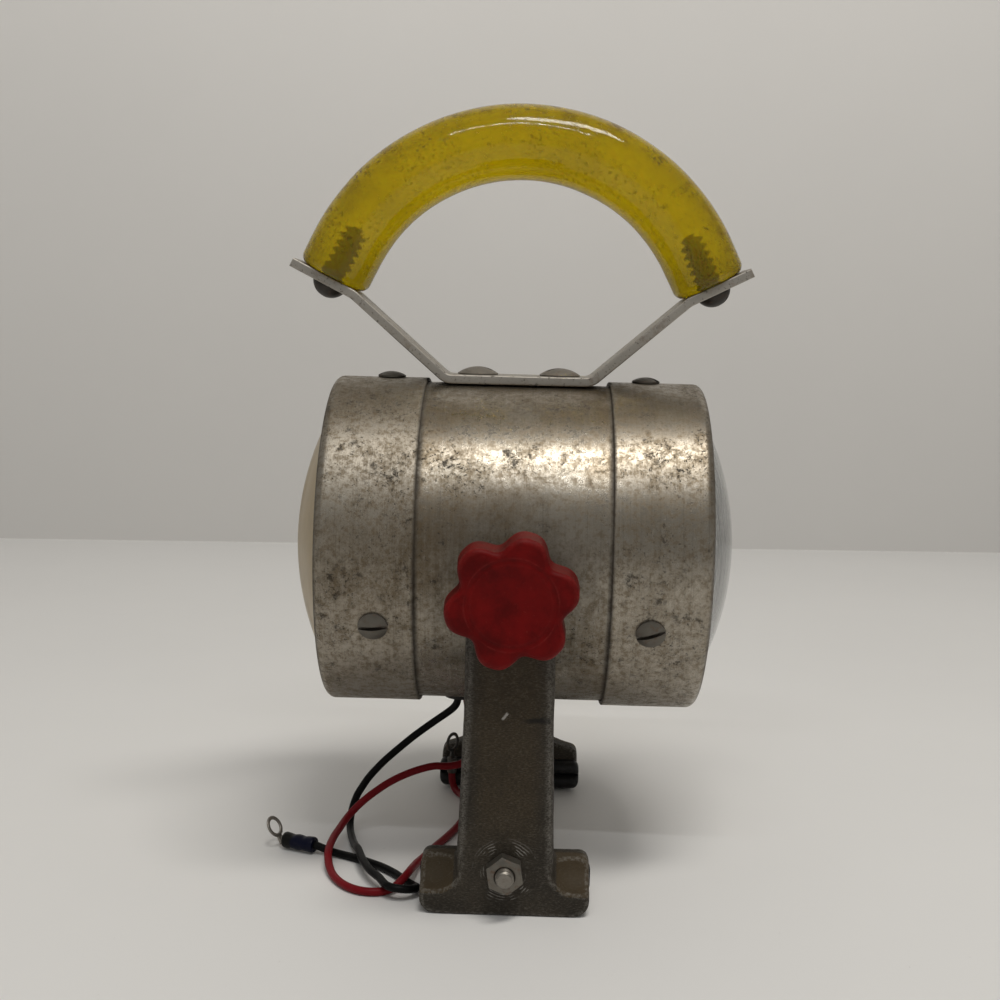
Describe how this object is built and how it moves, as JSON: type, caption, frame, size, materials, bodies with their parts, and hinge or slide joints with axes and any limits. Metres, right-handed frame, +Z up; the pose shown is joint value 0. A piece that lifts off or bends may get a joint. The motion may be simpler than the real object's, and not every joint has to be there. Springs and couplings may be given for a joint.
{
  "type": "railroad lantern",
  "caption": "Railroad lantern: a drum with a lamp at each end tilts between cast arms on clamp feet, locked by a hand knob, with a strap, moulded grip and loose battery leads.",
  "frame": {"origin": "On the table, halfway between the two feet, under the middle of the drum", "axes": "X along the drum to the right lamp, Y from the knob to the back, Z up"},
  "size_m": [0.1699, 0.1663, 0.2694],
  "materials": {
    "cast_arm": "worn dark coating on a casting",
    "pad_rubber": "smooth moulded",
    "steel": "bright plated",
    "dark_steel": "darkened by weather",
    "drum_metal": "weathered satin",
    "strap_metal": "weathered satin with pits",
    "clear_glass": "pressed",
    "amber_glass": "pressed and tinted",
    "bowl_mirror": "silvered inside",
    "terminal_brass": "plain",
    "fibre": "pressed fibre",
    "grip_plastic": "translucent moulded",
    "knob_plastic": "moulded, worn",
    "black_cover": "soft cable cover",
    "red_cover": "soft cable cover",
    "sleeve_plastic": "moulded",
    "tin": "tinned and dull"
  },
  "bodies": {
    "stand": {"front_arm": "cast_arm", "rear_arm": "cast_arm", "front_jaw_pad": "pad_rubber", "rear_jaw_pad": "pad_rubber", "tie_bolt": "steel", "tie_bolt_nut": "steel", "black_lead": "black_cover", "black_sleeve": "sleeve_plastic", "black_terminal": "tin", "red_lead": "red_cover", "red_terminal": "dark_steel"},
    "lamp_drum": {"drum_shell": "drum_metal", "left_cap": "drum_metal", "right_cap": "drum_metal", "left_lens": "amber_glass", "right_lens": "clear_glass", "left_reflector": "bowl_mirror", "right_reflector": "bowl_mirror", "left_seal": "pad_rubber", "right_seal": "pad_rubber", "left_filament": "steel", "right_filament": "steel", "left_lamp_terminals": "terminal_brass", "right_lamp_terminals": "terminal_brass", "left_cap_screws": "dark_steel", "right_cap_screws": "dark_steel", "front_boss": "drum_metal", "rear_boss": "drum_metal", "front_backing": "drum_metal", "rear_backing": "drum_metal", "front_friction_washer": "fibre", "rear_friction_washer": "fibre", "clamp_stud": "steel", "rear_pivot_bolt": "steel", "rear_pivot_nut": "steel", "rear_pivot_washer": "steel", "handle_strap": "strap_metal", "strap_bolts": "steel", "strap_nuts": "steel", "handle_grip": "grip_plastic", "grip_screws": "dark_steel", "lead_grommet": "pad_rubber", "red_inner_lead": "red_cover", "black_inner_lead": "black_cover", "lamp_jumpers": "terminal_brass"},
    "clamp_plate": {"clamp_washer": "steel"},
    "hand_knob": {"knob": "knob_plastic", "knob_insert": "terminal_brass"}
  },
  "joints": [
    {"name": "drum_tilt", "type": "hinge", "parent": "stand", "child": "lamp_drum", "pos_m": [0, 0, 0.107], "axis": [0, 1, 0], "range_deg": [-90, 90], "deforming": ["black_lead", "red_lead"]},
    {"name": "knob_travel", "type": "slide", "parent": "lamp_drum", "child": "clamp_plate", "axis": [0, -1, 0], "range_m": [0, 0.00283]},
    {"name": "knob_turn", "type": "hinge", "parent": "clamp_plate", "child": "hand_knob", "pos_m": [0, -0.08, 0.107], "axis": [0, -1, 0], "range_deg": [0, 720]}
  ],
  "couplings": [
    {"joint": "knob_travel", "follows": "knob_turn", "m_per_rad": 0.00022458}
  ]
}
